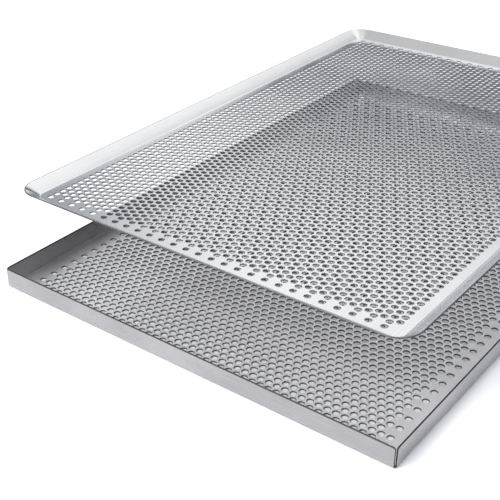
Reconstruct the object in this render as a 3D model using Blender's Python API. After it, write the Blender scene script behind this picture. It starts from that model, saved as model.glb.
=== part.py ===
"""Two perforated aluminium baguette trays, one held above the other.

The lower tray has four walls folded straight up, with an open seam at each corner. The upper tray has a rim that
slopes outwards at 35 degrees and runs on round each corner. Each tray is one pressed sheet. Here each sheet is
divided at its fold lines into its floor and its folded panels, so that every solid has a simple, open shape.

Metres, +Z up, +X along the short side and +Y along the long side. The origin is the centre of the underside of the
lower tray's floor, which is the face the set rests on. The upper tray lifts off along +Z.
"""

import math

import bmesh
import bpy
from mathutils import Vector

# Both trays
SHEET = 0.0012                  # thickness of the aluminium sheet
FIT_GAP = 0.0003                # space left between two panels that touch on the real sheet
ARC_STEPS = 6                   # facets in each bend

# Lower tray, with straight walls
STRAIGHT_SIZE = (0.400, 0.600)  # outside, along X and Y
WALL_HEIGHT = 0.019             # from the underside of the floor to the top of the wall
WALL_BEND = 0.0010              # inside radius of the fold
WALL_CORNER = 0.0022            # rounded upper corner of each wall
SEAM = 0.0015                   # how far each wall stops short of the corner
WALL_LIP_BEVEL = 0.0003         # broken edge along the top of the wall

# Upper tray, with a sloping rim
SLOPED_SIZE = (0.403, 0.590)    # outside, along X and Y
SLOPED_PLACE = Vector((-0.018, 0.0315, 0.068))  # centre of the underside of its floor
RIM_ANGLE = math.radians(35)
RIM_RUN = 0.0141                # level distance from the start of the bend to the rim's outer edge
RIM_BEND = 0.0020               # inside radius of the bend
RIM_PLAN_RADIUS = 0.008         # radius of the floor's corners, seen from above
CORNER_STEPS = 10               # facets round each corner


def clear_scene():
    for old in list(bpy.data.objects):
        bpy.data.objects.remove(old, do_unlink=True)


def aluminium(name, shade, roughness):
    """A bare aluminium sheet of one grey."""
    material = bpy.data.materials.new(name)
    material.use_nodes = True
    shader = material.node_tree.nodes["Principled BSDF"]
    shader.inputs["Base Color"].default_value = (*shade, 1.0)
    shader.inputs["Metallic"].default_value = 1.0
    shader.inputs["Roughness"].default_value = roughness
    return material


def add_object(name, bm, material, parent):
    """Turns bm into a named object with flat faces and sharp folds."""
    bmesh.ops.recalc_face_normals(bm, faces=bm.faces)
    mesh = bpy.data.meshes.new(name)
    bm.to_mesh(mesh)
    bm.free()
    mesh.materials.append(material)
    mesh.shade_smooth()
    mesh.set_sharp_from_angle(angle=math.radians(25))
    thing = bpy.data.objects.new(name, mesh)
    bpy.context.scene.collection.objects.link(thing)
    thing.parent = parent
    return thing


def tray_empty(name, place):
    """The empty that carries one tray's panels."""
    empty = bpy.data.objects.new(name, None)
    empty.location = place
    bpy.context.scene.collection.objects.link(empty)
    return empty


def bridge_sections(bm, sections):
    """Joins equal closed loops of points, in order, into one tube, and caps its two ends."""
    rings = [[bm.verts.new(point) for point in section] for section in sections]
    count = len(rings[0])
    for first, second in zip(rings, rings[1:]):
        for i in range(count):
            j = (i + 1) % count
            bm.faces.new((first[i], first[j], second[j], second[i]))
    bm.faces.new(rings[0])
    bm.faces.new(reversed(rings[-1]))


def wall_profile(drop=0.0):
    """Section of a straight wall as (outward, up) points, with outward 0 at the wall's outer face.

    drop lowers the top of the wall, which rounds the wall's upper corners near its ends.
    """
    outer = WALL_BEND + SHEET
    top = WALL_HEIGHT - drop
    points = []
    for i in range(ARC_STEPS + 1):
        angle = math.pi / 2 * i / ARC_STEPS
        points.append((-outer + outer * math.sin(angle), outer - outer * math.cos(angle)))
    points += [(0.0, top - WALL_LIP_BEVEL), (-WALL_LIP_BEVEL, top)]
    points += [(-SHEET + WALL_LIP_BEVEL, top), (-SHEET, top - WALL_LIP_BEVEL)]
    for i in range(ARC_STEPS, -1, -1):
        angle = math.pi / 2 * i / ARC_STEPS
        points.append((-outer + WALL_BEND * math.sin(angle), outer - WALL_BEND * math.cos(angle)))
    return points


def rim_profile():
    """Section of the sloping rim as (outward, up) points, with outward 0 at the start of the bend."""
    outer = RIM_BEND + SHEET
    flat = (RIM_RUN - outer * math.sin(RIM_ANGLE)) / math.cos(RIM_ANGLE)
    run, rise = flat * math.cos(RIM_ANGLE), flat * math.sin(RIM_ANGLE)
    angles = [RIM_ANGLE * i / ARC_STEPS for i in range(ARC_STEPS + 1)]
    under = [(outer * math.sin(a), outer - outer * math.cos(a)) for a in angles]
    above = [(RIM_BEND * math.sin(a), outer - RIM_BEND * math.cos(a)) for a in angles]
    under_tip = (under[-1][0] + run, under[-1][1] + rise)
    above_tip = (above[-1][0] + run, above[-1][1] + rise)
    return under + [under_tip, above_tip] + above[::-1]


def side_frames(size):
    """(side name, outward direction, distance to the outer face, half length, direction along the side)."""
    half_x, half_y = size[0] / 2, size[1] / 2
    return (
        ("front", Vector((0, -1, 0)), half_y, half_x, Vector((1, 0, 0))),
        ("right", Vector((1, 0, 0)), half_x, half_y, Vector((0, 1, 0))),
        ("back", Vector((0, 1, 0)), half_y, half_x, Vector((-1, 0, 0))),
        ("left", Vector((-1, 0, 0)), half_x, half_y, Vector((0, -1, 0))),
    )


def corner_insets():
    """Distances from a wall's end at which it needs a section, and how far its top is lowered at each."""
    steps = []
    for i in range(ARC_STEPS + 1):
        angle = math.pi / 2 * i / ARC_STEPS
        steps.append((WALL_CORNER * (1 - math.cos(angle)), WALL_CORNER * (1 - math.sin(angle))))
    return steps


def make_straight_wall(side, parent, material):
    """One wall of the lower tray, with rounded upper corners. Its ends are square, and only its bend is mitred."""
    name, outward, distance, half_length, along = side
    insets = corner_insets()
    stations = [(-1, *step) for step in insets] + [(1, *step) for step in reversed(insets)]
    sections = []
    for end, inset, drop in stations:
        section = []
        for out, up in wall_profile(drop):
            mitre = min(0.0, out + SHEET)
            reach = end * (half_length + mitre - SEAM - inset)
            section.append(outward * (distance + out) + along * reach + Vector((0, 0, up)))
        sections.append(section)
    bm = bmesh.new()
    bridge_sections(bm, sections)
    add_object(f"straight_tray_{name}_wall", bm, material, parent)


def make_rim_side(side, parent, material):
    """One straight length of the upper tray's rim, between two corners."""
    name, outward, distance, half_length, along = side
    start = distance - RIM_RUN
    reach = half_length - RIM_RUN - RIM_PLAN_RADIUS - FIT_GAP
    sections = []
    for end in (-1, 1):
        sections.append([
            outward * (start + out) + along * (end * reach) + Vector((0, 0, up)) for out, up in rim_profile()
        ])
    bm = bmesh.new()
    bridge_sections(bm, sections)
    add_object(f"sloped_tray_{name}_rim", bm, material, parent)


def make_rim_corner(name, sign_x, sign_y, parent, material):
    """One corner of the upper tray's rim: the rim's section turned through a quarter circle."""
    centre = Vector((
        sign_x * (SLOPED_SIZE[0] / 2 - RIM_RUN - RIM_PLAN_RADIUS),
        sign_y * (SLOPED_SIZE[1] / 2 - RIM_RUN - RIM_PLAN_RADIUS),
        0.0,
    ))
    sections = []
    for i in range(CORNER_STEPS + 1):
        turn = math.pi / 2 * i / CORNER_STEPS
        outward = Vector((sign_x * math.cos(turn), sign_y * math.sin(turn), 0.0))
        sections.append([
            centre + outward * (RIM_PLAN_RADIUS + out) + Vector((0, 0, up)) for out, up in rim_profile()
        ])
    bm = bmesh.new()
    bridge_sections(bm, sections)
    add_object(f"sloped_tray_{name}_corner", bm, material, parent)


def rounded_rectangle(half_x, half_y, radius):
    """Points round a rectangle, anticlockwise, with a quarter circle at each corner if radius is over zero."""
    points = []
    for quarter, (sign_x, sign_y) in enumerate(((1, 1), (-1, 1), (-1, -1), (1, -1))):
        steps = CORNER_STEPS if radius > 0 else 0
        for i in range(steps + 1):
            turn = math.pi / 2 * (quarter + (i / steps if steps else 0))
            points.append((
                sign_x * (half_x - radius) + radius * math.cos(turn),
                sign_y * (half_y - radius) + radius * math.sin(turn),
            ))
    return points


def make_floor(name, half_x, half_y, radius, parent, material):
    """A flat floor panel, from its underside at height 0 up to its thickness."""
    outline = rounded_rectangle(half_x, half_y, radius)
    bm = bmesh.new()
    bridge_sections(bm, [[Vector((x, y, z)) for x, y in outline] for z in (0.0, SHEET)])
    add_object(name, bm, material, parent)


def make_straight_tray():
    """The lower tray: a floor and four straight walls."""
    satin = aluminium("satin_aluminium", (0.62, 0.61, 0.62), 0.42)
    tray = tray_empty("straight_tray", (0, 0, 0))
    inset = WALL_BEND + SHEET + FIT_GAP
    half_x, half_y = STRAIGHT_SIZE[0] / 2 - inset, STRAIGHT_SIZE[1] / 2 - inset
    make_floor("straight_tray_floor", half_x, half_y, 0.0, tray, satin)
    for side in side_frames(STRAIGHT_SIZE):
        make_straight_wall(side, tray, satin)


def make_sloped_tray():
    """The upper tray: a floor, four lengths of sloping rim and four corners."""
    bright = aluminium("bright_aluminium", (0.80, 0.81, 0.83), 0.30)
    tray = tray_empty("sloped_tray", SLOPED_PLACE)
    inset = RIM_RUN + FIT_GAP
    half_x, half_y = SLOPED_SIZE[0] / 2 - inset, SLOPED_SIZE[1] / 2 - inset
    make_floor("sloped_tray_floor", half_x, half_y, RIM_PLAN_RADIUS - FIT_GAP, tray, bright)
    for side in side_frames(SLOPED_SIZE):
        make_rim_side(side, tray, bright)
    corners = (("front_left", -1, -1), ("front_right", 1, -1), ("back_left", -1, 1), ("back_right", 1, 1))
    for name, sign_x, sign_y in corners:
        make_rim_corner(name, sign_x, sign_y, tray, bright)


clear_scene()
make_straight_tray()
make_sloped_tray()
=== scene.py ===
"""Two perforated aluminium baguette trays in a bright studio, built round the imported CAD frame.

Each tray is a pressed sheet: a floor punched with round holes on a staggered pattern, and folded walls or a
sloping rim. The script measures the trays on the frame, punches the floors, bends the edges, and gives the
metal its finish.
"""

import math

import bmesh
import bpy
import numpy as np
from mathutils import Euler, Matrix, Vector
from mathutils.geometry import delaunay_2d_cdt


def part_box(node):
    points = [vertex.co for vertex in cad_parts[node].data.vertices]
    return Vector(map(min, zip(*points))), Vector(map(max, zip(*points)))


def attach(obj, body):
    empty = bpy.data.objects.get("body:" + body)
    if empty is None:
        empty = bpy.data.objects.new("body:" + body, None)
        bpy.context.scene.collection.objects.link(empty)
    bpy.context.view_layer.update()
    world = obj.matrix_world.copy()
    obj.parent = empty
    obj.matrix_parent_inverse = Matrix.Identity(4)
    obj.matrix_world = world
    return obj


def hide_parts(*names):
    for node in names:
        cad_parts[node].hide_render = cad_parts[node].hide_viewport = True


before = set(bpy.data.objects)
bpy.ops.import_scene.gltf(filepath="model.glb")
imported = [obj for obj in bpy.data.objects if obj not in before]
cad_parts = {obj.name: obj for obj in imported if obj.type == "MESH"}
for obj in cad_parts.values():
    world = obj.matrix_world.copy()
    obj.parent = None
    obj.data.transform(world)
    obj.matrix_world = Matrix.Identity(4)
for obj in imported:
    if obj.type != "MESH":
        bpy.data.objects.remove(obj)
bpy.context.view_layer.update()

MM = 0.001

# Punching, the same on both trays
PITCH = 7.7 * MM                # distance between neighbouring holes
ROW_PITCH = PITCH * math.sqrt(3) / 2
HOLE_RADIUS = 2.85 * MM
ROLLOVER = 0.25 * MM            # edge drawn down by the punch, on the upper face
HOLE_SIDES = 12                 # a multiple of 6, so that each hole fits its hexagonal cell
SAME_POINT = 0.001 * MM         # points closer than this are one point
APART = 1e-9                    # tolerance of the triangulation, too small to merge any two points
HALVES_MEET = -0.1 * MM         # Y of the line between a floor's two halves, off every cell's centre

# Folding
WALL_BEND = 1.0 * MM            # inside radius where a straight wall is folded up
WALL_CORNER = 2.2 * MM          # rounded upper corner at each end of a straight wall
SEAM = 1.25 * MM                # a straight wall's end stops this far short of the corner
END_BEVEL = 0.4 * MM            # broken edge round a straight wall's ends
LIP_RISE = 1.0 * MM             # height of the rounded edge along a straight wall's top
RIM_RUN = 14.1 * MM             # level width of the sloping rim, bend included
RIM_ANGLE = math.radians(35)
RIM_BEND = 2.0 * MM             # inside radius where the sloping rim is bent up
RIM_PLAN_RADIUS = 8.0 * MM      # radius of the upper tray's floor corners, from above
BEND_STEPS = 10
CORNER_STEPS = 14
# Sides of a wall's section, and of the rim's, that are the sheet's rounded cut edge. They take the near-black
# cut-edge material, which is painted shade for the dark line along each wall's top and along the rim's edge
SHEARED_SIDES = range(BEND_STEPS + 1, 2 * BEND_STEPS + 1)
SHARP_ANGLE = math.radians(38)  # folded pieces are shaded smooth across edges that turn less than this

# Finish. Texture scales are per metre
STREAKS_ALONG = 26              # the rolling streaks, along the rolling direction
STREAKS_ACROSS = 1900
CLOUD_SIZE = 90 * MM            # uneven polish
GRAIN_SCALE = 900.0
FINE_RELIEF = 0.06 * MM         # depth of the streaks and the grain
WAVE_SCALE = 9.0                # slight unevenness of the whole sheet
WAVE_RELIEF = 1.2 * MM
DRAG_ACROSS = 2600              # marks that the cutting tool leaves, which stand upright
DRAG_UPRIGHT = 300

# Stage
FLOOR_HALF = 8.0                # half the width of the studio floor
FLOOR_DROP = 0.3 * MM           # the floor and the grey card lie this far under the lower tray
# The grey card is painted shade: a dark sheet under the lower tray, so that what shows through its holes
# reads as shadow
SHADOW_CARD_DROP = 0.15 * MM
SHADOW_CARD_INSET = 6 * MM             # the card's edges stay this far inside the lower tray's
FLOOR_SHADE = 0.82
SHADOW_CARD_GREY = 0.46

# Camera
CAMERA_PLACE = Vector((0.4338, -0.7882, 0.4806))    # from the centre of the lower tray's underside
CAMERA_TURN = Euler((math.radians(59.70), math.radians(1.01), math.radians(38.78)))
CAMERA_LENS = 72.3
CAMERA_SENSOR = 36.0
CAMERA_SHIFT = (0.09, 0.016)
CAMERA_CLIP = (0.01, 50)

# Lights: name, place, target, size, power, colour
LIGHTS = (
    ("key", (-1.1, -3.3, 3.5), (0, 0, 0), (2.6, 2.0), 265, (1.0, 0.99, 0.98)),
    ("side", (-2.2, -0.2, 1.6), (0, 0, 0), (1.2, 1.2), 10, (1.0, 1.0, 1.0)),
    ("top", (1.3, -0.6, 2.2), (0.3, 0, 0), (1.2, 1.2), 18, (0.82, 0.90, 1.0)),
)

# Studio dome: colours by the Z of a direction, where 0 is level or below and 1 is straight up
SCREEN_STOPS = (
    (0.0, (0.90, 0.91, 0.93)), (0.31, (0.90, 0.91, 0.93)),      # pale band at the horizon
    (0.36, (0.02, 0.04, 0.08)), (0.45, (0.02, 0.04, 0.08)),     # dark band below the screen
    (0.48, (0.50, 0.52, 0.55)), (0.52, (0.98, 0.98, 0.98)),     # the screen's soft lower edge
    (0.62, (1.10, 1.10, 1.10)), (1.0, (1.22, 1.22, 1.22)),      # the screen, brightest at its top
)
ROOM_STOPS = (
    (0.0, (0.45, 0.47, 0.50)), (0.40, (0.27, 0.29, 0.34)), (0.8, (0.58, 0.58, 0.59)),
    (0.94, (0.64, 0.64, 0.64)), (1.0, (0.95, 0.95, 0.95)),
)
SCREEN_SLOPE = -0.20            # this times X is added to Z, so that the screen's edges rise towards +X
SCREEN_TURN = 0.55              # the screen's middle lies towards (this, 1, 0)
SCREEN_EDGE = (0.18, 0.38)      # it fades in between these dot products with that direction
FLAG_DIRECTION = (0.66, 0.62, 0.42)
FLAG_EDGE = (0.78, 0.91)        # the flag fades in between these dot products with its direction
FLAG_SHADE = 0.06               # share of the light that the flag lets through


# ---------------------------------------------------------------- measuring the frame

def box_of(prefix):
    """Lowest and highest corners of all CAD nodes whose name starts with prefix."""
    boxes = [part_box(name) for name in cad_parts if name.startswith(prefix)]
    low = Vector([min(box[0][i] for box in boxes) for i in range(3)])
    high = Vector([max(box[1][i] for box in boxes) for i in range(3)])
    return low, high


def tray_size(prefix):
    """(centre of the floor's underside, half width, half length, sheet thickness, height) of one tray."""
    low, high = box_of(prefix)
    floor_low, floor_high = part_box(prefix + "_floor")
    centre = Vector(((low.x + high.x) / 2, (low.y + high.y) / 2, floor_low.z))
    return centre, (high.x - low.x) / 2, (high.y - low.y) / 2, floor_high.z - floor_low.z, high.z - low.z


# ---------------------------------------------------------------- punched floors

def hole_pattern(row_count, row_holes, first_row_full, rows_along_y):
    """Cells of a staggered hole pattern round the origin: (x and y of each centre, whether each is punched).

    Full rows hold row_holes cells. The rows between them are shifted by half a pitch, hold one cell
    fewer, and have no hole in their first and last cell, which leaves the pattern's open ends.
    """
    centres, punched = [], []
    for row in range(row_count):
        full = (row % 2 == 0) == first_row_full
        cells = row_holes if full else row_holes - 1
        across = (row - (row_count - 1) / 2) * ROW_PITCH
        for cell in range(cells):
            along = (cell - (cells - 1) / 2) * PITCH
            centres.append((across, along) if rows_along_y else (along, across))
            punched.append(full or 0 < cell < cells - 1)
    return np.array(centres), np.array(punched)


def merge_points(points):
    """(unique points, index of each given point among them)."""
    keys = np.round(points / SAME_POINT).astype(np.int64)
    _, first, index = np.unique(keys, axis=0, return_index=True, return_inverse=True)
    return points[first], index.reshape(-1)


def boundary_edges(faces):
    """Directed edges that belong to one face only."""
    edges = {}
    for face in faces:
        for a, b in zip(face, face[1:] + face[:1]):
            if (b, a) in edges:
                del edges[(b, a)]
            else:
                edges[(a, b)] = True
    return list(edges)


def margin_faces(points, ring, outline_start, outline_count):
    """Triangles between the ring of cell edges and the floor's outline, grown inwards from the outline."""
    ring_points = sorted({i for edge in ring for i in edge})
    places = {index: i for i, index in enumerate(ring_points)}
    base = len(ring_points)
    walls = [(places[a], places[b]) for a, b in ring]
    outline = [(base + i, base + (i + 1) % outline_count) for i in range(outline_count)]
    indices = ring_points + list(range(outline_start, outline_start + outline_count))
    flat = [Vector(points[i]) for i in indices]
    all_triangles = 0
    _, _, faces, origins, _, _ = delaunay_2d_cdt(flat, walls + outline, [], all_triangles, APART)
    faces = [[origins[i][0] for i in face] for face in faces]
    beside = {}
    for number, face in enumerate(faces):
        for edge in zip(face, face[1:] + face[:1]):
            beside.setdefault(frozenset(edge), []).append(number)
    closed = {frozenset(edge) for edge in walls}
    waiting = [number for edge in outline for number in beside[frozenset(edge)]]
    found = set(waiting)
    while waiting:
        face = faces[waiting.pop()]
        for edge in map(frozenset, zip(face, face[1:] + face[:1])):
            if edge not in closed:
                fresh = [number for number in beside[edge] if number not in found]
                found.update(fresh)
                waiting += fresh
    return [[indices[i] for i in faces[number]] for number in sorted(found)]


def punched_sheet(pattern, outline, rows_along_y):
    """The floor seen from above: (points, faces, holes). A face or hole is (its ring of points, a centre).

    The centre is that of its cell, or in the plain margin that of the face itself.
    """
    centres, punched = pattern
    start = 0.0 if rows_along_y else math.pi / 6
    cell_angles = [start + math.pi / 3 * i for i in range(6)]
    reach = PITCH / math.sqrt(3)
    hexagon = np.array([(math.cos(a), math.sin(a)) for a in cell_angles]) * reach
    corners = (centres[:, None, :] + hexagon[None, :, :]).reshape(-1, 2)
    corner_points, corner_index = merge_points(corners)
    corner_index = corner_index.reshape(-1, 6)

    per_edge = HOLE_SIDES // 6
    hole_angles = [start + 2 * math.pi * i / HOLE_SIDES for i in range(HOLE_SIDES)]
    circle = np.array([(math.cos(a), math.sin(a)) for a in hole_angles])
    hole_centres = centres[punched]
    rims = (hole_centres[:, None, :] + circle[None] * (HOLE_RADIUS + ROLLOVER)).reshape(-1, 2)
    first_rim = len(corner_points)
    first_outline = first_rim + len(rims)
    points = np.concatenate([corner_points, rims, np.array(outline)])

    cells = [tuple(int(i) for i in row) for row in corner_index]
    faces, holes = [], []
    for cell, centre, has_hole in zip(cells, centres, punched):
        if not has_hole:
            faces.append((list(cell), centre))
            continue
        rim = [first_rim + len(holes) * HOLE_SIDES + i for i in range(HOLE_SIDES)]
        holes.append((rim, centre))
        for i in range(6):
            arc = [rim[(i * per_edge + k) % HOLE_SIDES] for k in range(per_edge, -1, -1)]
            faces.append(([cell[i], cell[(i + 1) % 6], *arc], centre))
    ring = boundary_edges(cells)
    for face in margin_faces(points, ring, first_outline, len(outline)):
        faces.append((face, points[face].mean(axis=0)))
    return points, faces, holes


def solid_sheet(name, points, faces, holes, bottom, top, keep):
    """One closed piece of punched sheet made from the faces whose centre keep() accepts.

    The hole walls are the mesh's second material. Flat faces are shaded flat, and hole walls smooth.
    """
    faces = [face for face, centre in faces if keep(centre)]
    holes = [(rim, centre) for rim, centre in holes if keep(centre)]
    used = np.array(sorted({i for face in faces for i in face}))
    place = {int(index): i for i, index in enumerate(used)}
    count = len(used)
    upper = np.column_stack([points[used], np.full(count, top)])
    lower = np.column_stack([points[used], np.full(count, bottom)])
    waist = []
    waist_start = 2 * count
    flat_faces = [[place[i] for i in face] for face in faces]
    rim_edges = set()
    round_faces = []
    for number, (rim, centre) in enumerate(holes):
        ring = [place[i] for i in rim]
        first = waist_start + number * HOLE_SIDES
        inner = centre + (points[rim] - centre) * (HOLE_RADIUS / (HOLE_RADIUS + ROLLOVER))
        waist += [(x, y, top - ROLLOVER) for x, y in inner]
        lower[ring, :2] = inner
        for i in range(HOLE_SIDES):
            j = (i + 1) % HOLE_SIDES
            round_faces.append([ring[i], ring[j], first + j, first + i])
            round_faces.append([first + i, first + j, count + ring[j], count + ring[i]])
            rim_edges.add((ring[j], ring[i]))
    sides = [edge for edge in boundary_edges([tuple(face) for face in flat_faces]) if edge not in rim_edges]
    under_faces = [[count + i for i in reversed(face)] for face in flat_faces]
    side_faces = [[b, a, count + a, count + b] for a, b in sides]
    plain = flat_faces + under_faces + side_faces
    mesh = bpy.data.meshes.new(name)
    mesh.from_pydata(np.concatenate([upper, lower, np.array(waist)]).tolist(), [], plain + round_faces)
    smooth = np.array([False] * len(plain) + [True] * len(round_faces))
    mesh.polygons.foreach_set("use_smooth", smooth)
    mesh.polygons.foreach_set("material_index", smooth.astype(np.int32))
    mesh.update()
    return link_mesh(name, mesh)


def link_mesh(name, mesh):
    thing = bpy.data.objects.new(name, mesh)
    bpy.context.scene.collection.objects.link(thing)
    return thing


def rounded_rectangle(half_x, half_y, radius):
    """Points round a rectangle, anticlockwise from +X +Y, with its corners rounded if radius is over zero."""
    points = []
    steps = CORNER_STEPS if radius > 0 else 0
    for quarter, (sign_x, sign_y) in enumerate(((1, 1), (-1, 1), (-1, -1), (1, -1))):
        for i in range(steps + 1):
            turn = math.pi / 2 * (quarter + (i / steps if steps else 0))
            points.append((
                sign_x * (half_x - radius) + radius * math.cos(turn),
                sign_y * (half_y - radius) + radius * math.sin(turn),
            ))
    return points


def with_short_edges(outline, longest):
    """The outline with points added evenly along each edge that is over longest."""
    points = []
    for (x, y), (next_x, next_y) in zip(outline, outline[1:] + outline[:1]):
        steps = math.ceil(math.hypot(next_x - x, next_y - y) / longest)
        points += [(x + (next_x - x) * i / steps, y + (next_y - y) * i / steps) for i in range(steps)]
    return points


# ---------------------------------------------------------------- folded edges

def loft(name, sections, closed):
    """A closed body through equal loops of points: a ring if closed, otherwise a length with capped ends.

    The sheet's cut edge takes the second material: SHEARED_SIDES, and each end of a length with its bevel.
    That material's near-black tint is partly rough sheared metal, partly painted shade.
    """
    bm = bmesh.new()
    rings = [[bm.verts.new(point) for point in section] for section in sections]
    pairs = list(zip(rings, rings[1:] + rings[:1])) if closed else list(zip(rings, rings[1:]))
    count = len(rings[0])
    for station, (first, second) in enumerate(pairs):
        at_end = not closed and station in (0, len(pairs) - 1)
        for i in range(count):
            j = (i + 1) % count
            face = bm.faces.new((first[i], first[j], second[j], second[i]))
            face.material_index = int(at_end or i in SHEARED_SIDES)
    if not closed:
        for ring in (rings[0], rings[-1][::-1]):
            bm.faces.new(ring).material_index = 1
    bmesh.ops.recalc_face_normals(bm, faces=bm.faces)
    mesh = bpy.data.meshes.new(name)
    bm.to_mesh(mesh)
    bm.free()
    mesh.shade_smooth()
    mesh.set_sharp_from_angle(angle=SHARP_ANGLE)
    return link_mesh(name, mesh)


def wall_section(sheet, height, drop, shrink):
    """Section of a straight wall as (outward, up), outward 0 at its outer face, with its top edge rounded.

    drop lowers the top. shrink thins the sheet evenly, which bevels the wall's end.
    """
    outer = WALL_BEND + sheet
    top = height - drop - shrink
    half = sheet / 2 - shrink
    middle = -sheet / 2
    points = []
    for i in range(BEND_STEPS + 1):
        a = math.pi / 2 * i / BEND_STEPS
        reach = outer - shrink
        points.append((-outer + reach * math.sin(a), outer - reach * math.cos(a)))
    for i in range(BEND_STEPS + 1):
        a = math.pi * i / BEND_STEPS
        points.append((middle + half * math.cos(a), top - LIP_RISE + LIP_RISE * math.sin(a)))
    for i in range(BEND_STEPS, -1, -1):
        a = math.pi / 2 * i / BEND_STEPS
        reach = WALL_BEND + shrink
        points.append((-outer + reach * math.sin(a), outer - reach * math.cos(a)))
    return points


def end_stations():
    """(inset, drop, shrink) of each section a wall needs near one end, from the very end inwards."""
    insets = [WALL_CORNER * (1 - math.cos(math.pi / 2 * i / BEND_STEPS)) for i in range(BEND_STEPS + 1)]
    stations = [(0.0, WALL_CORNER, END_BEVEL)]
    for inset in [END_BEVEL] + [inset for inset in insets if inset > END_BEVEL]:
        drop = WALL_CORNER - math.sqrt(WALL_CORNER ** 2 - (WALL_CORNER - inset) ** 2)
        stations.append((inset, drop, 0.0))
    return stations


def straight_wall(name, outward, along, distance, half_length, sheet, height):
    """One folded wall of the lower tray. Its ends are square and bevelled, and its bend is mitred."""
    ends = end_stations()
    stations = [(-1, *station) for station in ends] + [(1, *station) for station in reversed(ends)]
    sections = []
    for end, inset, drop, shrink in stations:
        section = []
        for out, up in wall_section(sheet, height, drop, shrink):
            mitre = min(0.0, out + sheet)
            reach = end * (half_length + mitre - SEAM - inset)
            section.append(outward * (distance + out) + along * reach + Vector((0, 0, up)))
        sections.append(section)
    return loft(name, sections, False)


def rim_section(sheet):
    """Section of the sloping rim as (outward, up), outward 0 where the bend starts, with a rounded edge."""
    outer = RIM_BEND + sheet
    flat = (RIM_RUN - outer * math.sin(RIM_ANGLE)) / math.cos(RIM_ANGLE)
    angles = [RIM_ANGLE * i / BEND_STEPS for i in range(BEND_STEPS + 1)]
    under = [(outer * math.sin(a), outer - outer * math.cos(a)) for a in angles]
    above = [(RIM_BEND * math.sin(a), outer - RIM_BEND * math.cos(a)) for a in angles]
    slope = Vector((math.cos(RIM_ANGLE), math.sin(RIM_ANGLE)))
    across = Vector((-slope.y, slope.x))
    half = sheet / 2
    tip_middle = Vector(under[-1]) + slope * (flat - half) + across * half
    tip = []
    for i in range(BEND_STEPS + 1):
        a = -math.pi / 2 + math.pi * i / BEND_STEPS
        point = tip_middle + slope * (half * math.cos(a)) + across * (half * math.sin(a))
        tip.append((point.x, point.y))
    return under + tip + above[::-1]


def sloping_rim(name, centre, half_x, half_y, sheet):
    """The whole rim of the upper tray, one ring whose corners are parts of a cone."""
    section = rim_section(sheet)
    inner_x, inner_y = half_x - RIM_RUN - RIM_PLAN_RADIUS, half_y - RIM_RUN - RIM_PLAN_RADIUS
    sections = []
    for quarter, (sign_x, sign_y) in enumerate(((1, 1), (-1, 1), (-1, -1), (1, -1))):
        for i in range(CORNER_STEPS + 1):
            turn = math.pi / 2 * (quarter + i / CORNER_STEPS)
            outward = Vector((math.cos(turn), math.sin(turn), 0))
            hub = centre + Vector((sign_x * inner_x, sign_y * inner_y, 0))
            sections.append([
                hub + outward * (RIM_PLAN_RADIUS + out) + Vector((0, 0, up)) for out, up in section
            ])
    return loft(name, sections, True)


# ---------------------------------------------------------------- the two trays

def floor_halves(prefix, pattern, outline, centre, sheet, rows_along_y):
    """The punched floor in two closed pieces, front and back.

    They meet along the cells' edges, and in the plain margin along the edges of its triangles.
    """
    points, faces, holes = punched_sheet(pattern, with_short_edges(outline, PITCH), rows_along_y)
    parts = []
    for name, keep in (("front", lambda at: at[1] < HALVES_MEET), ("back", lambda at: at[1] >= HALVES_MEET)):
        part = solid_sheet(f"{prefix}_punched_{name}", points, faces, holes, centre.z, centre.z + sheet, keep)
        part.data.transform(Matrix.Translation((centre.x, centre.y, 0)))
        parts.append(part)
    return parts


def make_straight_tray():
    """The lower tray: punched floor and four folded walls."""
    prefix = "straight_tray"
    centre, half_x, half_y, sheet, height = tray_size(prefix)
    inset = WALL_BEND + sheet
    pattern = hole_pattern(row_count=85, row_holes=48, first_row_full=False, rows_along_y=False)
    outline = rounded_rectangle(half_x - inset, half_y - inset, 0)
    floor = floor_halves(prefix, pattern, outline, centre, sheet, rows_along_y=False)
    sides = {
        "front": (Vector((0, -1, 0)), Vector((1, 0, 0)), half_y, half_x),
        "right": (Vector((1, 0, 0)), Vector((0, 1, 0)), half_x, half_y),
        "back": (Vector((0, 1, 0)), Vector((-1, 0, 0)), half_y, half_x),
        "left": (Vector((-1, 0, 0)), Vector((0, -1, 0)), half_x, half_y),
    }
    walls = {}
    for side, (outward, along, distance, half_length) in sides.items():
        name = f"{prefix}_folded_{side}_wall"
        walls[side] = straight_wall(name, outward, along, distance, half_length, sheet, height)
    return floor, walls


def make_sloped_tray():
    """The upper tray: punched floor and one continuous sloping rim."""
    prefix = "sloped_tray"
    centre, half_x, half_y, sheet, _ = tray_size(prefix)
    pattern = hole_pattern(row_count=54, row_holes=72, first_row_full=True, rows_along_y=True)
    outline = rounded_rectangle(half_x - RIM_RUN, half_y - RIM_RUN, RIM_PLAN_RADIUS)
    floor = floor_halves(prefix, pattern, outline, centre, sheet, rows_along_y=True)
    rim = sloping_rim(f"{prefix}_pressed_rim", centre, half_x, half_y, sheet)
    return floor, rim


# ---------------------------------------------------------------- materials

class Nodes:
    """A short way to lay out a node tree."""

    def __init__(self, tree):
        self.tree = tree

    def add(self, kind, inputs=None, **settings):
        node = self.tree.nodes.new(kind)
        for key, value in settings.items():
            setattr(node, key, value)
        for key, value in (inputs or {}).items():
            socket = node.inputs[key]
            if isinstance(value, bpy.types.NodeSocket):
                self.tree.links.new(value, socket)
            else:
                socket.default_value = value
        return node


def new_material(name):
    material = bpy.data.materials.new(name)
    material.use_nodes = True
    nodes = Nodes(material.node_tree)
    shader = material.node_tree.nodes["Principled BSDF"]
    return material, nodes, shader


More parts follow.
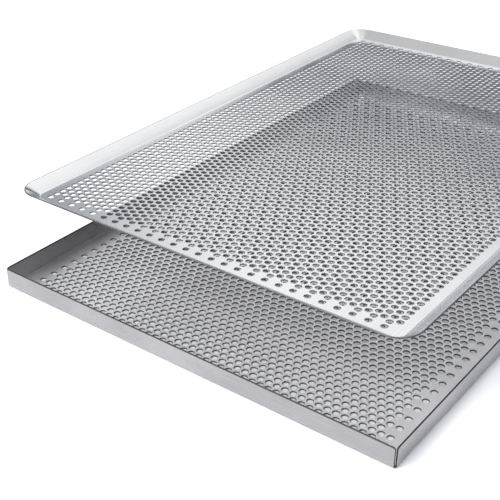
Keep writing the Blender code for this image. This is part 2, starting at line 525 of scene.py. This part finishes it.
def aluminium_sheet(name, dark, light, rough, rolled_along_y, metallic=1.0):
    """Rolled aluminium: fine streaks along the rolling direction, faint clouds, and slight unevenness.

    The colour runs from dark to light and the roughness over rough, with the same streaks and clouds.
    """
    material, nodes, shader = new_material(name)
    place = nodes.add("ShaderNodeTexCoord").outputs["Object"]
    scale = [STREAKS_ACROSS] * 3
    scale[1 if rolled_along_y else 0] = STREAKS_ALONG
    rolled = nodes.add("ShaderNodeMapping", {"Vector": place, "Scale": scale})
    streaks = nodes.add("ShaderNodeTexNoise", {
        "Vector": rolled.outputs["Vector"], "Scale": 1.0, "Detail": 3.0, "Roughness": 0.6})
    clouds = nodes.add("ShaderNodeTexNoise", {
        "Vector": place, "Scale": 1 / CLOUD_SIZE, "Detail": 4.0, "Roughness": 0.55})
    grain = nodes.add("ShaderNodeTexNoise", {"Vector": place, "Scale": GRAIN_SCALE, "Detail": 2.0})
    tone = nodes.add("ShaderNodeMath", {0: streaks.outputs["Fac"], 1: 0.45}, operation="MULTIPLY")
    tone = nodes.add("ShaderNodeMath", {
        0: clouds.outputs["Fac"], 1: 0.55, 2: tone.outputs[0]}, operation="MULTIPLY_ADD")
    share = nodes.add("ShaderNodeMapRange", {
        "Value": tone.outputs[0], "From Min": 0.38, "From Max": 0.62}, clamp=True)
    colour = nodes.add("ShaderNodeMix", {
        "Factor": share.outputs["Result"], "A": (*dark, 1), "B": (*light, 1)}, data_type="RGBA")
    roughness = nodes.add("ShaderNodeMapRange", {
        "Value": tone.outputs[0], "From Min": 0.35, "From Max": 0.65,
        "To Min": rough[0], "To Max": rough[1]}, clamp=True)
    height = nodes.add("ShaderNodeMath", {
        0: streaks.outputs["Fac"], 1: grain.outputs["Fac"]}, operation="ADD")
    fine = nodes.add("ShaderNodeBump", {
        "Height": height.outputs[0], "Strength": 0.18, "Distance": FINE_RELIEF})
    waves = nodes.add("ShaderNodeTexNoise", {"Vector": place, "Scale": WAVE_SCALE, "Detail": 1.0})
    bump = nodes.add("ShaderNodeBump", {
        "Height": waves.outputs["Fac"], "Strength": 0.5, "Distance": WAVE_RELIEF,
        "Normal": fine.outputs["Normal"]})
    links = material.node_tree.links
    links.new(colour.outputs["Result"], shader.inputs["Base Color"])
    links.new(roughness.outputs["Result"], shader.inputs["Roughness"])
    links.new(bump.outputs["Normal"], shader.inputs["Normal"])
    shader.inputs["Metallic"].default_value = metallic
    return material


def sheared_edge_and_painted_shade(name, dark, light, rough):
    """The sheet's cut edge, or a hole's wall: darker than the rolled face, partly as rougher sheared metal
    with upright drag marks, partly as painted shade.
    """
    material, nodes, shader = new_material(name)
    place = nodes.add("ShaderNodeTexCoord").outputs["Object"]
    scale = (DRAG_ACROSS, DRAG_ACROSS, DRAG_UPRIGHT)
    upright = nodes.add("ShaderNodeMapping", {"Vector": place, "Scale": scale})
    drag = nodes.add("ShaderNodeTexNoise", {
        "Vector": upright.outputs["Vector"], "Scale": 1.0, "Detail": 2.0})
    colour = nodes.add("ShaderNodeMix", {
        "Factor": drag.outputs["Fac"], "A": (*dark, 1), "B": (*light, 1)}, data_type="RGBA")
    material.node_tree.links.new(colour.outputs["Result"], shader.inputs["Base Color"])
    shader.inputs["Metallic"].default_value = 1.0
    shader.inputs["Roughness"].default_value = rough
    return material


def matt_board(name, shade):
    material, _, shader = new_material(name)
    shader.inputs["Base Color"].default_value = (shade, shade, shade, 1)
    shader.inputs["Roughness"].default_value = 0.9
    shader.inputs["Specular IOR Level"].default_value = 0.1
    return material


# ---------------------------------------------------------------- studio

def make_camera(origin):
    data = bpy.data.cameras.new("camera")
    data.lens = CAMERA_LENS
    data.sensor_width = CAMERA_SENSOR
    data.shift_x, data.shift_y = CAMERA_SHIFT
    data.clip_start, data.clip_end = CAMERA_CLIP
    camera = bpy.data.objects.new("camera", data)
    camera.location = origin + CAMERA_PLACE
    camera.rotation_euler = CAMERA_TURN
    bpy.context.scene.collection.objects.link(camera)
    bpy.context.scene.camera = camera


def stage_board(name, half_x, half_y, place, shade):
    """A flat rectangle that isn't part of the object."""
    mesh = bpy.data.meshes.new(name)
    corners = [(-half_x, -half_y, 0), (half_x, -half_y, 0), (half_x, half_y, 0), (-half_x, half_y, 0)]
    mesh.from_pydata(corners, [], [(0, 1, 2, 3)])
    board = link_mesh(name, mesh)
    board.location = place
    board.data.materials.append(matt_board(name, shade))


def make_floor():
    """A wide pale floor a hair below the lower tray, and a grey card of painted shade that shows only through
    the holes.
    """
    origin, half_x, half_y, *_ = tray_size("straight_tray")
    shadow_card_x, shadow_card_y = half_x - SHADOW_CARD_INSET, half_y - SHADOW_CARD_INSET
    stage_board("floor", FLOOR_HALF, FLOOR_HALF, origin - Vector((0, 0, FLOOR_DROP)), FLOOR_SHADE)
    stage_board("painted_shadow_card", shadow_card_x, shadow_card_y, origin - Vector((0, 0, SHADOW_CARD_DROP)), SHADOW_CARD_GREY)


def area_light(name, place, target, size, power, colour):
    data = bpy.data.lights.new(name, "AREA")
    data.shape = "RECTANGLE"
    data.size, data.size_y = size
    data.energy = power
    data.color = colour
    light = bpy.data.objects.new(name, data)
    light.location = place
    light.rotation_euler = (Vector(target) - Vector(place)).to_track_quat("-Z", "Y").to_euler()
    bpy.context.scene.collection.objects.link(light)


def colour_ramp(nodes, factor, stops):
    """The colour that a smooth ramp through (position, colour) stops gives at factor."""
    ramp = nodes.add("ShaderNodeValToRGB", {"Fac": factor})
    elements = ramp.color_ramp.elements
    elements[0].position, elements[0].color = stops[0][0], (*stops[0][1], 1)
    elements[1].position, elements[1].color = stops[-1][0], (*stops[-1][1], 1)
    for position, colour in stops[1:-1]:
        elements.new(position).color = (*colour, 1)
    return ramp.outputs["Color"]


def make_world():
    """A soft studio dome: a bright screen behind the trays, a dimmer room, and a dark flag before the screen.

    The screen's lower edge is lowest at -X. Below it are a dark band, and a pale one at the horizon.
    """
    world = bpy.data.worlds.new("studio")
    bpy.context.scene.world = world
    world.use_nodes = True
    nodes = Nodes(world.node_tree)
    direction = nodes.add("ShaderNodeTexCoord").outputs["Generated"]
    split = nodes.add("ShaderNodeSeparateXYZ", {"Vector": direction})
    screen_height = nodes.add("ShaderNodeMath", {
        0: split.outputs["X"], 1: SCREEN_SLOPE, 2: split.outputs["Z"]}, operation="MULTIPLY_ADD")
    screen = colour_ramp(nodes, screen_height.outputs[0], SCREEN_STOPS)
    room = colour_ramp(nodes, split.outputs["Z"], ROOM_STOPS)
    facing_screen = nodes.add("ShaderNodeMath", {
        0: split.outputs["X"], 1: SCREEN_TURN, 2: split.outputs["Y"]}, operation="MULTIPLY_ADD")
    share = nodes.add("ShaderNodeMapRange", {
        "Value": facing_screen.outputs[0], "From Min": SCREEN_EDGE[0], "From Max": SCREEN_EDGE[1]},
        interpolation_type="SMOOTHSTEP")
    dome = nodes.add("ShaderNodeMix", {
        "Factor": share.outputs["Result"], "A": room, "B": screen}, data_type="RGBA")
    facing_flag = nodes.add("ShaderNodeVectorMath", {
        0: direction, 1: FLAG_DIRECTION}, operation="DOT_PRODUCT")
    flag = nodes.add("ShaderNodeMapRange", {
        "Value": facing_flag.outputs["Value"], "From Min": FLAG_EDGE[0], "From Max": FLAG_EDGE[1],
        "To Min": 1.0, "To Max": FLAG_SHADE}, interpolation_type="SMOOTHSTEP")
    shaded = nodes.add("ShaderNodeVectorMath", {
        0: dome.outputs["Result"], "Scale": flag.outputs["Result"]}, operation="SCALE")
    background = world.node_tree.nodes["Background"]
    world.node_tree.links.new(shaded.outputs["Vector"], background.inputs["Color"])
    background.inputs["Strength"].default_value = 1.0


# ---------------------------------------------------------------- putting it together

satin = aluminium_sheet(
    "satin_aluminium", (0.86, 0.85, 0.86), (0.95, 0.94, 0.95), (0.28, 0.38),
    rolled_along_y=False, metallic=0.95)
# The lower tray's walls get a darker tint than its floor: painted shade, the same sheet darkened to stand in
# for the walls' darker reflections
wall_satin_painted_shade = aluminium_sheet(
    "wall_aluminium_painted_shade", (0.34, 0.335, 0.345), (0.45, 0.44, 0.455), (0.22, 0.32), rolled_along_y=False)
bright = aluminium_sheet(
    "bright_aluminium", (0.74, 0.75, 0.77), (0.86, 0.87, 0.88), (0.15, 0.23), rolled_along_y=True)
# Hole walls: their near-black tint is painted shade for the shadowed far side of each hole
satin_hole_painted_shade = sheared_edge_and_painted_shade("satin_hole_wall_painted_shade", (0.07, 0.07, 0.075), (0.17, 0.17, 0.18), 0.4)
bright_hole_painted_shade = sheared_edge_and_painted_shade("bright_hole_wall_painted_shade", (0.17, 0.17, 0.18), (0.32, 0.32, 0.33), 0.5)
# Cut edges: their near-black tint is painted shade for the dark lines along the wall tops and the rim's edge,
# on top of the sheared metal's own roughness
satin_edge_painted_shade = sheared_edge_and_painted_shade("satin_cut_edge_painted_shade", (0.03, 0.03, 0.035), (0.09, 0.09, 0.10), 0.5)
bright_edge_painted_shade = sheared_edge_and_painted_shade("bright_cut_edge_painted_shade", (0.08, 0.08, 0.09), (0.18, 0.18, 0.19), 0.5)

straight_floor, straight_walls = make_straight_tray()
for part in straight_floor:
    part.data.materials.append(satin)
    part.data.materials.append(satin_hole_painted_shade)
    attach(part, "straight_tray")
    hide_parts("straight_tray_floor")
for side, wall in straight_walls.items():
    wall.data.materials.append(wall_satin_painted_shade)
    wall.data.materials.append(satin_edge_painted_shade)
    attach(wall, "straight_tray")
    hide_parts(f"straight_tray_{side}_wall")

sloped_floor, sloped_rim = make_sloped_tray()
for part in sloped_floor:
    part.data.materials.append(bright)
    part.data.materials.append(bright_hole_painted_shade)
    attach(part, "sloped_tray")
    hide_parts("sloped_tray_floor")
rim_panels = [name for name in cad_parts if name.startswith("sloped_tray") and "floor" not in name]
sloped_rim.data.materials.append(bright)
sloped_rim.data.materials.append(bright_edge_painted_shade)
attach(sloped_rim, "sloped_tray")
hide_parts(*rim_panels)

make_world()
for light in LIGHTS:
    area_light(*light)
make_floor()
origin, *_ = tray_size("straight_tray")
make_camera(origin)
bpy.context.scene.view_settings.view_transform = "Standard"
